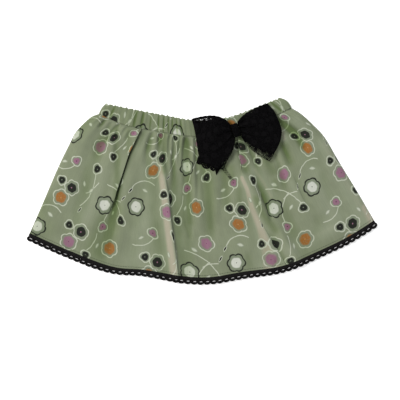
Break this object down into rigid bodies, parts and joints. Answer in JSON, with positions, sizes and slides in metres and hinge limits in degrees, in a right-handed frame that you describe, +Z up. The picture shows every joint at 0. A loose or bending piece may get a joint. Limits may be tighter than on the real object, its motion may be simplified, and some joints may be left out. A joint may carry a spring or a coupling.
{
  "type": "gathered skirt",
  "caption": "Small child's gathered cotton skirt with an elastic waistband, looped hem trim and a lace bow, laid flat with its front up.",
  "frame": {"origin": "on the surface that the skirt lies on, under the middle of its outline's box", "axes": "+X across the skirt, towards the bow's side of the front; +Y from the hem to the waistband; +Z up, out of the front"},
  "size_m": [0.3846, 0.206, 0.0148],
  "materials": {
    "printed_cotton": "plain-weave cotton, printed",
    "hem_trim": "woven trim with a looped edge",
    "bow_lace": "lace ribbon"
  },
  "bodies": {
    "root": {"front_panel": "printed_cotton", "back_panel": "printed_cotton", "waistband_front": "printed_cotton", "waistband_back": "printed_cotton", "hem_trim_front": "hem_trim", "hem_trim_back": "hem_trim", "bow_loop_left": "bow_lace", "bow_loop_right": "bow_lace", "bow_knot": "bow_lace"}
  },
  "joints": []
}
